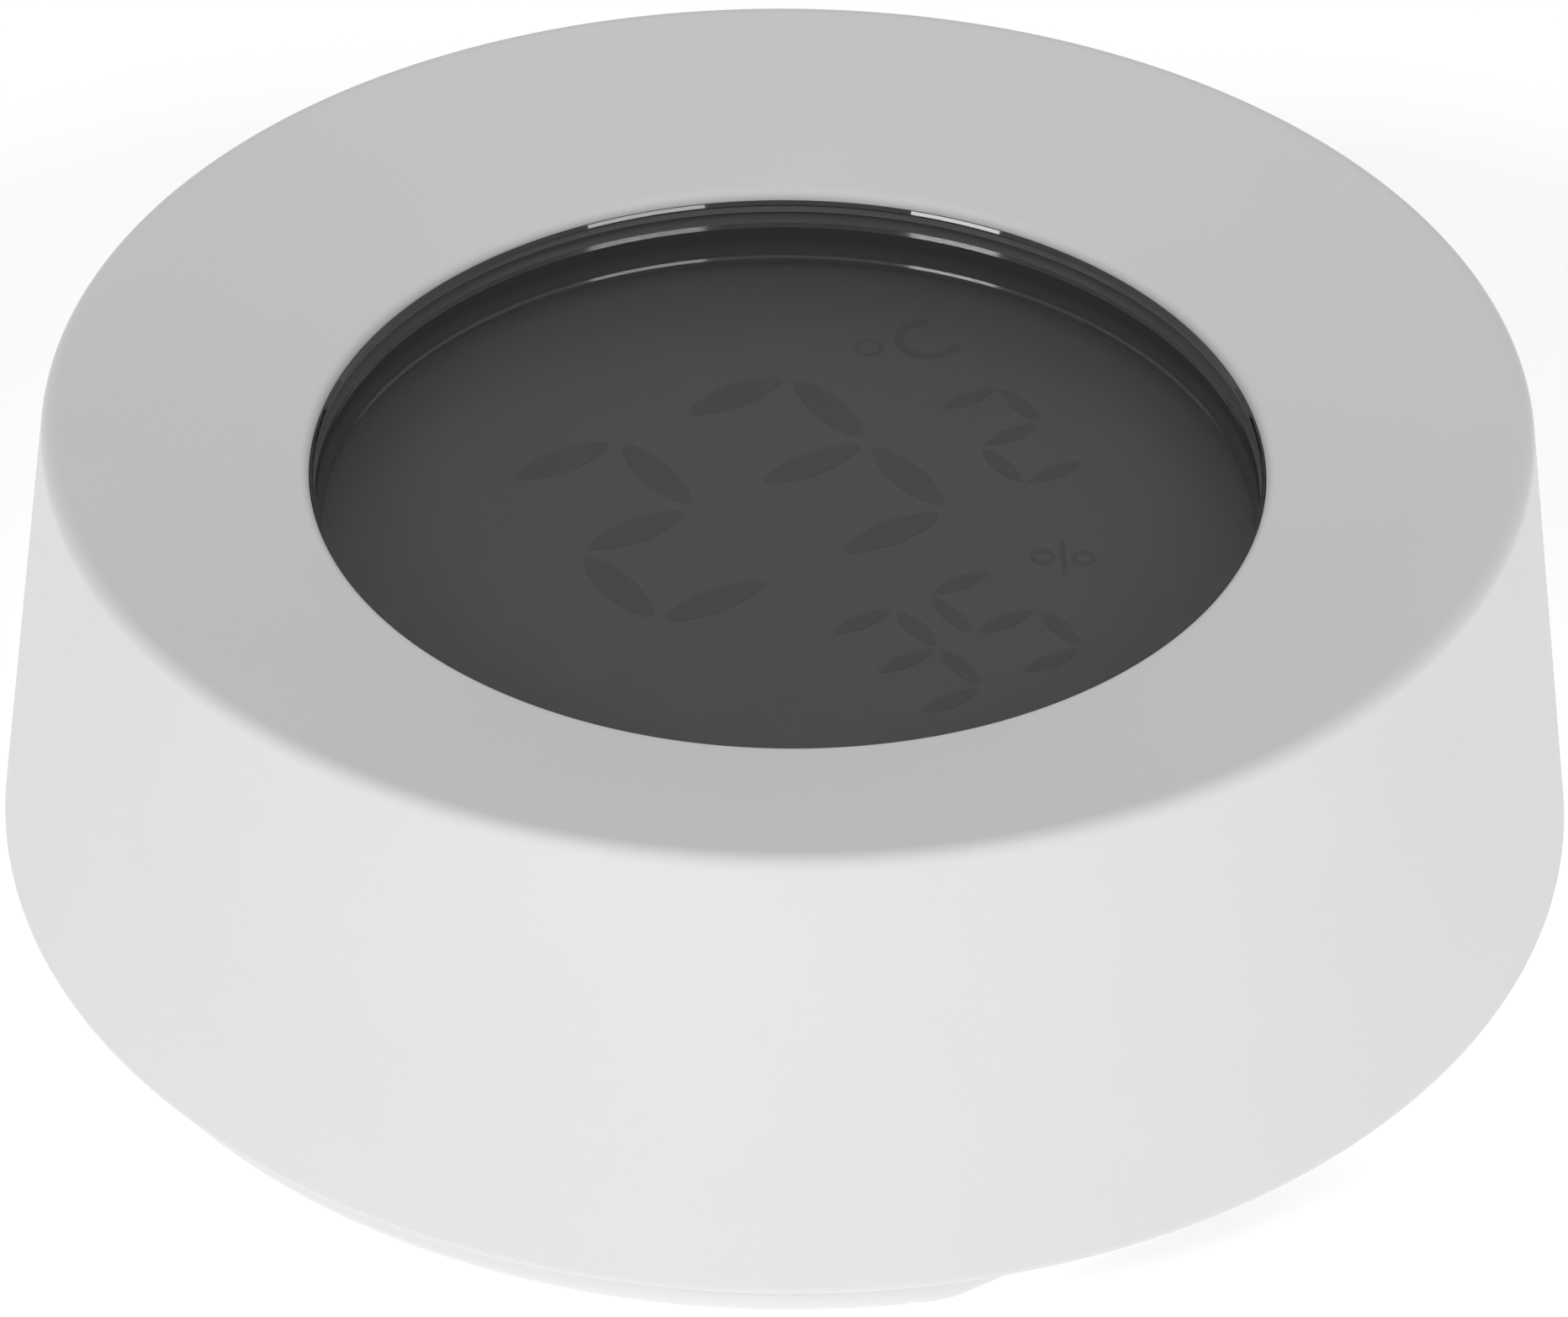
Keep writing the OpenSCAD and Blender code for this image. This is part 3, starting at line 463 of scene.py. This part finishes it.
# A white moulded tray carries the glass, and a zebra strip beside it joins the glass to the board.
# The strip is silicone rubber with thin carbon layers.
dress(white_plastic, "display_tray")
zebra, feed, place = finish("zebra_rubber", IOR=1.4)
layers = place.node("ShaderNodeTexWave", {"bands_direction": "X"}, {"Vector": place, "Scale": 1600.0})
feed("Base Color", shade((0.02, 0.02, 0.02), (0.62, 0.50, 0.47), layers))
feed("Roughness", 0.55 + layers * 0.15)
dress(zebra, "zebra_connector")

# The circuit board is green solder mask over glass-fibre laminate, with copper tracks that show
# through the mask. A small radio board is soldered under it.
def laminate(name, low, high):
    """Solder mask with tracks: the tracks run along the joints of a brick pattern of uneven bricks."""
    material, feed, place = finish(name, IOR=1.5)
    uneven = {"offset": 0.37, "squash": 0.6, "squash_frequency": 3}
    bricks = {"Vector": place, "Scale": 300.0, "Mortar Size": 0.03, "Brick Width": 0.9}
    tracks = place.node("ShaderNodeTexBrick", uneven, bricks, "Fac")
    weave = noise(place, 0.4)
    feed("Base Color", shade(low, high, tracks * 0.7 + weave * 0.3))
    feed("Roughness", 0.28 + weave * 0.12)
    feed("Normal", relief(tracks, 0.03, 0.6))
    return material


dress(laminate("green_solder_mask", (0.012, 0.085, 0.042), (0.03, 0.17, 0.085)), "circuit_board")
dress(laminate("dark_solder_mask", (0.006, 0.035, 0.02), (0.015, 0.08, 0.045)), "radio_board")


# The radio's shield can and the crystal's can are drawn from tin-plated steel sheet.
# The contacts, further down, are of nickel-plated spring steel with a finer grain.
def sheet_metal(name, low, high, stretch, roughness):
    """Rolled metal: noise stretched along one direction gives the rolling marks."""
    material, feed, place = finish(name, Metallic=1.0)
    rolled = place.node("ShaderNodeMapping", {}, {"Vector": place, "Scale": stretch})
    marks = noise(rolled, 0.3, 4)
    feed("Base Color", shade(low, high, marks))
    feed("Roughness", roughness + marks * 0.14)
    feed("Normal", relief(marks, 0.004, 0.5))
    return material


dress(sheet_metal("tinned_steel", (0.50, 0.51, 0.52), (0.64, 0.65, 0.66), (1, 0.06, 1), 0.26),
      "shield_can", "crystal")

# The small parts on the board: the sensor and the switch in black moulding compound, the gasket of
# black foam, the coil of ferrite, and chip capacitors and resistors with tinned ends.
compound, feed, place = finish("black_compound", IOR=1.5)
filler = noise(place, 0.1, 3)
feed("Base Color", shade((0.012, 0.012, 0.013), (0.035, 0.035, 0.036), filler))
feed("Roughness", 0.5 + filler * 0.2)
feed("Normal", relief(filler, 0.01, 0.6))
dress(compound, "sensor_chip", "pairing_switch")
foam, feed, place = finish("gasket_foam", IOR=1.4)
bubbles = place.node("ShaderNodeTexVoronoi", {}, {"Vector": place, "Scale": 3500.0}, "Distance")
feed("Base Color", shade((0.008, 0.008, 0.008), (0.05, 0.05, 0.052), bubbles))
feed("Roughness", 0.8 + bubbles * 0.15)
feed("Normal", relief(bubbles, 0.06))
dress(foam, "sensor_gasket")
ferrite, feed, place = finish("grey_ferrite", IOR=1.6)
sinter = noise(place, 0.12, 4)
feed("Base Color", shade((0.03, 0.03, 0.032), (0.075, 0.075, 0.08), sinter))
feed("Roughness", 0.55 + sinter * 0.2)
feed("Normal", relief(sinter, 0.015))
dress(ferrite, "power_inductor")


def chip(name, node, low, high, body):
    """Chip part along Y with tinned ends: the ends begin half the body's length from its middle."""
    material, feed, place = finish(name, IOR=1.55)
    lowest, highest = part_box(node)
    middle = (lowest.y + highest.y) / 2
    y = place.node("ShaderNodeSeparateXYZ", {}, {0: place}, "Y")
    ends = (y - middle).math("ABSOLUTE", y - middle) > body / 2000
    speck = noise(place, 0.09, 3)
    colour = shade(low, high, speck)
    feed("Base Color", colour.node("ShaderNodeMix", {"data_type": "RGBA"},
                                   {0: ends, 6: colour, 7: (0.62, 0.63, 0.64, 1)}, 2))
    feed("Metallic", ends)
    feed("Roughness", 0.5 - ends * 0.2 + speck * 0.1)
    dress(material, node)


chip("brown_ceramic", "chip_capacitors", (0.30, 0.20, 0.11), (0.42, 0.30, 0.18), 1.0)
chip("black_resistor_glaze", "chip_resistors", (0.015, 0.015, 0.016), (0.04, 0.04, 0.042), 0.9)

# The pairing button is a light grey cap with a rounded end, in a guide of the battery tray.
# It pushes the tan plunger of the switch above it.
lowest, highest = (np.array(corner) * 1000 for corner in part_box("pairing_button"))
middle = tuple((lowest + highest)[:2] / 2)
cap_z, collar_z, cap_r, cap_round, collar_r, collar_h = lowest[2], highest[2], 2.5, 0.35, 3.2, 0.8
button_outline = rounded([
    (0, cap_z, 0), (cap_r, cap_z, cap_round), (cap_r, collar_z - collar_h, fine_break),
    (collar_r, collar_z - collar_h, edge_break), (collar_r, collar_z, edge_break), (0, collar_z, 0),
], hold=0.05)
button = skin("pairing_button_cap", [turned(button_outline, middle, 96)])
grey_plastic = moulded_white("light_grey_plastic", (0.46, 0.46, 0.455), (0.54, 0.54, 0.535), 0.42)
button.data.materials.append(grey_plastic)
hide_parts("pairing_button")
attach(button, "button")
tan, feed, place = finish("tan_plastic", IOR=1.5)
flow = noise(place, 0.8)
feed("Base Color", shade((0.36, 0.27, 0.13), (0.46, 0.35, 0.19), flow))
feed("Roughness", 0.4 + flow * 0.15)
dress(tan, "switch_plunger")

# The battery tray closes the housing from below: a white plate with the battery bay, the button's
# guide and an air duct. Four pan-head steel screws hold it, the board and the housing together.
dress(moulded_white("satin_white_plastic", (0.74, 0.74, 0.735), (0.80, 0.80, 0.795), 0.42), "battery_tray")
screw_steel, feed, place = finish("plated_screw_steel", Metallic=1.0)
turning = noise(place, 0.15, 3)
feed("Base Color", shade((0.46, 0.47, 0.49), (0.60, 0.61, 0.63), turning))
feed("Roughness", 0.24 + turning * 0.14)
feed("Normal", relief(turning, 0.004, 0.5))
dress(screw_steel, "tray_screws")

# Two batteries lie side by side, with their positive ends opposite ways. Each is a steel can in a
# plain shrink sleeve, dark for most of its length and light towards the positive end.
battery_y, battery_z, battery_r, half_l, can_half = 5.85, 6.95, 5.25, 22.25, 21.0
groove, shoulder, plus_r = 22.1, 21.05, 1.9
light_from, plus_bare, minus_bare = 0.0118, 0.02115, -0.0216
battery_outline = rounded([
    (0, -half_l, 0), (3.6, -half_l, 0.1), (3.7, -groove, 0.05), (4.3, -groove, 0.05), (4.4, -half_l, 0.15),
    (5.15, -half_l, 0.4), (battery_r, -can_half, 0.5), (battery_r, can_half, 0.4), (4.7, 21.25, 0.2),
    (4.3, shoulder, 0.15), (2.3, shoulder, 0.2), (plus_r, 21.3, 0.15), (plus_r, half_l, 0.4), (0, half_l, 0),
], hold=0.03)


def battery(name, node, y, way):
    """Cell along X at this Y, its positive end towards +X or -X, with its sleeve's finish."""
    lying = turned(battery_outline, sides=120)[..., [2, 0, 1]]
    if way < 0:
        lying = lying * [-1, -1, 1]
    piece = skin(name, [lying + np.array([0, y, battery_z]) / 1000])
    material, feed, place = finish(name + "_sleeve", Coat_Weight=0.4, Coat_Roughness=0.12)
    x = place.node("ShaderNodeSeparateXYZ", {}, {0: place}, "X") * way
    light_end, bare = x > light_from, (x > plus_bare) + (x < minus_bare)
    sheen = noise(place, 1.2, 3)
    tone = shade((0.018, 0.022, 0.030), (0.030, 0.035, 0.045), sheen)
    tone = tone.node("ShaderNodeMix", {"data_type": "RGBA"},
                     {0: light_end, 6: tone, 7: shade((0.50, 0.44, 0.34), (0.58, 0.52, 0.41), sheen)}, 2)
    tone = tone.node("ShaderNodeMix", {"data_type": "RGBA"},
                     {0: bare, 6: tone, 7: shade((0.52, 0.53, 0.54), (0.66, 0.67, 0.68), sheen)}, 2)
    feed("Base Color", tone)
    feed("Metallic", bare + light_end * (1 - bare) * 0.6)
    feed("Roughness", 0.3 + sheen * 0.14 - bare * 0.06)
    piece.data.materials.append(material)
    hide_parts(node)
    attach(piece, "sensor")


battery("left_cell", "battery_left", battery_y, 1)
battery("right_cell", "battery_right", -battery_y, -1)

# The battery contacts are stamped from nickel-plated spring steel: plates with domes for the
# positive buttons and leaves for the flat ends, two of them soldered to the board.
dress(sheet_metal("nickel_spring_steel", (0.55, 0.54, 0.51), (0.70, 0.69, 0.66), (1, 1, 0.08), 0.22),
      "positive_terminal", "negative_terminal", "bridge_contact")

# The base cover is a shallow white cup of the housing's plastic, moulded in one piece. Its front has a
# flat finger notch with five air slots, and three round detents on its wall snap into the housing.
base_z, base_floor_z, base_top_z, base_r, base_wall = 0.3, 1.5, 6.0, 34.253, 1.6
slot_low, slot_top, slot_w, slot_places = 1.7, 5.3, 1.4, 3.2 * np.arange(-2, 3)
notch_half, notch_round, foot_round, top_round, support, rim_in = 12.5, 4.0, 0.75, 0.3, 0.1, 2.5
arc_steps, corner_count, round_count, detent_angles = 7, 17, 361, np.radians([90, 210, 330])
notch_flat = math.sqrt(base_r ** 2 - notch_half ** 2)
end_y = notch_round - notch_flat
end_x = math.sqrt((base_r - notch_round) ** 2 - end_y ** 2)


def arc(middle, radius, start, end, count):
    """Points and outward directions along an arc: middle plus radius times (cosine, sine) of the angle."""
    a = np.linspace(start, end, count)
    out = np.stack([np.cos(a), np.sin(a)], -1)
    return np.array(middle) + radius * out, out


def flat_run(start, end):
    """Points and outward directions along the notch's flat, from one x to another."""
    return np.array([[start, -notch_flat], [end, -notch_flat]]), np.array([[0, -1], [0, -1]])


def cup(edge, profile):
    """Profile (depth behind the edge, height, share) along an edge: the edge's point less the depth times
    its outward direction, all times the share, which is 1 at the wall and 0 on the axis."""
    point, out = edge
    depth, height, share = (column[:, None] for column in profile.T)
    flat = share[..., None] * (point - depth[..., None] * out)
    return np.concatenate([flat, (height + 0 * point[:, 0])[..., None]], -1) / 1000


def tunnel(start, end):
    """The four faces of an air slot: its corners in turn, at the wall's outer and inner face."""
    x, y = np.array([start, start, end, end]), np.array([0, base_wall]) - notch_flat
    z = np.array([slot_low, slot_top, slot_top, slot_low])
    return np.stack(np.broadcast_arrays(x[:, None], y, z[:, None]), -1) / 1000


def detent(angle, height=4.45, ball_r=1.2, out=0.12):
    """Round cap on the base's wall: a ball's top, turned to point out of the wall at this angle."""
    a = np.linspace(math.acos(1 - out / ball_r), 0, 9)
    cap = ball_r * np.stack([np.sin(a), np.cos(a) - 1], -1) + [0, out]
    cap = turned(np.concatenate([[[0, -0.05], [cap[0, 0], -0.05]], cap]), sides=32)
    aside, outward = [-math.sin(angle), math.cos(angle), 0], [math.cos(angle), math.sin(angle), 0]
    return cap @ np.array([aside, [0, 0, 1], outward]) + (base_r * np.array(outward) + [0, 0, height]) / 1000


corners = [
    (-rim_in, base_z, 0), (0, base_z, foot_round), (0, base_z + foot_round + support, 0), (0, slot_low, 0),
    (0, slot_top, 0), (0, base_top_z - top_round - support, 0), (0, base_top_z, top_round),
    (-base_wall, base_top_z, top_round), (-base_wall, base_top_z - top_round - support, 0),
    (-base_wall, slot_top, 0), (-base_wall, slot_low, 0),
    (-base_wall, base_floor_z, edge_break), (-rim_in, base_floor_z, 0),
]
wall_line = rounded(corners, hold=0, steps=arc_steps) * [-1, 1]
wall_line = np.concatenate([wall_line, np.ones((len(wall_line), 1))], 1)
whole = np.concatenate([[[0, base_z, 0]], wall_line, [[0, base_floor_z, 0]]])
row = 1 + (arc_steps + 2) * np.arange(len(corners))  # where each corner of the profile begins
over_slot = whole[row[4]:row[9] + 1]
under_slot = np.concatenate([whole[row[10]:], whole[:row[3] + 1]])
turn_in = math.atan2(end_y, end_x)
slot_ends = [(x - slot_w / 2, x + slot_w / 2) for x in slot_places]
runs = [
    flat_run(slot_ends[-1][1], end_x),
    arc((end_x, end_y), notch_round, -math.pi / 2, turn_in, corner_count),
    arc((0, 0), base_r, turn_in, math.pi - turn_in, round_count),
    arc((-end_x, end_y), notch_round, math.pi - turn_in, 1.5 * math.pi, corner_count),
    flat_run(-end_x, slot_ends[0][0]),
]
around = [np.concatenate(part) for part in zip(*runs)]
between = [flat_run(before[1], after[0]) for before, after in zip(slot_ends, slot_ends[1:])]
base = skin("base_cup", [cup(edge, whole) for edge in (around, *between)]
            + [tunnel(*ends) for ends in slot_ends] + [detent(a) for a in detent_angles],
            [cup(flat_run(*ends), part) for ends in slot_ends for part in (over_slot, under_slot)])
base.data.set_sharp_from_angle(angle=math.radians(40))
base.data.materials.append(white_plastic)
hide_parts("base_cover")
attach(base, "base")

# Three round feet of dark grey rubber are let into the base's underside. They are die-cut from sheet,
# and glued into shallow round pockets, one of them behind the notch.
foot_ring, foot_r, foot_h = 26.053, 3.5, 1.0
foot_outline = rounded([(0, 0, 0), (foot_r, 0, 0.2), (foot_r, foot_h, fine_break), (0, foot_h, 0)], hold=0.05)
foot_places = [(foot_ring * math.cos(a), foot_ring * math.sin(a)) for a in np.radians([30, 150, 270])]
feet = skin("round_feet", [turned(foot_outline, place, 72) for place in foot_places])
foot_rubber, feed, place = finish("dark_grey_rubber", IOR=1.45)
tooth = noise(place, 0.25, 3)
feed("Base Color", shade((0.035, 0.035, 0.036), (0.065, 0.065, 0.067), tooth))
feed("Roughness", 0.7 + tooth * 0.15)
feed("Normal", relief(tooth, 0.02, 0.7))
feet.data.materials.append(foot_rubber)
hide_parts("rubber_feet")
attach(feet, "base")

# The sensor stands on a white light table without end. The table's matte sheet keeps the sensor's
# soft shadow, and the light from below it brightens the sensor's base and bottom edge.
floor_r, floor_low, floor_z = 1500, -2.05, -0.05
floor_outline = rounded([(0, floor_low, 0), (floor_r, floor_low, 0), (floor_r, floor_z, 0), (0, floor_z, 0)])
floor = skin("white_floor", [turned(floor_outline, sides=96)])
floor_white, feed, place = finish("matte_white_floor", Roughness=0.9, Specular_IOR_Level=0.1,
                                  Emission_Strength=0.48)
feed("Base Color", shade((0.88, 0.88, 0.88), (0.91, 0.91, 0.91), noise(place, 60)))
feed("Emission Color", shade((0.98, 0.98, 0.98), (1, 1, 1), noise(place, 90)))
floor.data.materials.append(floor_white)

# Two long light bars hang in front of the sensor and above it, one on each side of the camera and
# turned a little inwards. The tent round the sensor looks white, also in gloss and glass, and lights
# the sensor more from near the floor than from overhead.
bar_above, bar_thick = 0.38, 0.09
camera_side = Matrix(((math.cos(turn), -math.sin(turn), 0), (math.sin(turn), math.cos(turn), 0), (0, 0, 1)))


def light_bar(name, start, end, radiance):
    """Area light between two places, in metres to the camera's right and from the axis towards the camera.
    Its power in watts is pi times its area times its radiance, the brightness that a mirror would show."""
    start, end = (camera_side @ Vector((across, -before, bar_above)) for across, before in (start, end))
    middle, along = (start + end) / 2, (end - start).normalized()
    facing = (middle - along * middle.dot(along)).normalized()
    lamp = bpy.data.lights.new(name, "AREA")
    lamp.shape, lamp.size, lamp.size_y = "RECTANGLE", (end - start).length, bar_thick
    lamp.energy = math.pi * lamp.size * bar_thick * radiance
    light = bpy.data.objects.new(name, lamp)
    axes = Matrix((along, facing.cross(along), facing)).transposed()
    light.matrix_world = Matrix.Translation(middle + Vector((0, 0, window_top / 1000))) @ axes.to_4x4()
    scene.collection.objects.link(light)


light_bar("right_light_bar", (0.197, 0.498), (0.482, 0.395), 9)
light_bar("left_light_bar", (-0.507, 0.387), (-0.28, 0.473), 14)
tent = bpy.data.worlds.new("white_tent")
tent.use_nodes = True
scene.world = tent
tree = tent.node_tree
direction = Wire(tree).node("ShaderNodeTexCoord", {}, {}, "Generated")
height = direction.node("ShaderNodeSeparateXYZ", {}, {0: direction}, "Z")
overhead = height.math("MAXIMUM", height, 0)
by_eye, by_gloss, by_glass = (Wire(tree).node("ShaderNodeLightPath", {}, {}, f"Is {kind} Ray")
                              for kind in ("Camera", "Glossy", "Transmission"))
seen = by_eye.math("MAXIMUM", by_eye, by_gloss.math("MAXIMUM", by_gloss, by_glass))
overhead_light, floor_light = 0.40, 0.15
low_down = 1.0 - overhead
light = overhead_light + low_down * low_down * floor_light
strength = seen + (1 - seen) * light
tree.links.new(strength.socket, tree.nodes["Background"].inputs["Strength"])
tree.nodes["Background"].inputs["Color"].default_value = (1, 1, 1, 1)
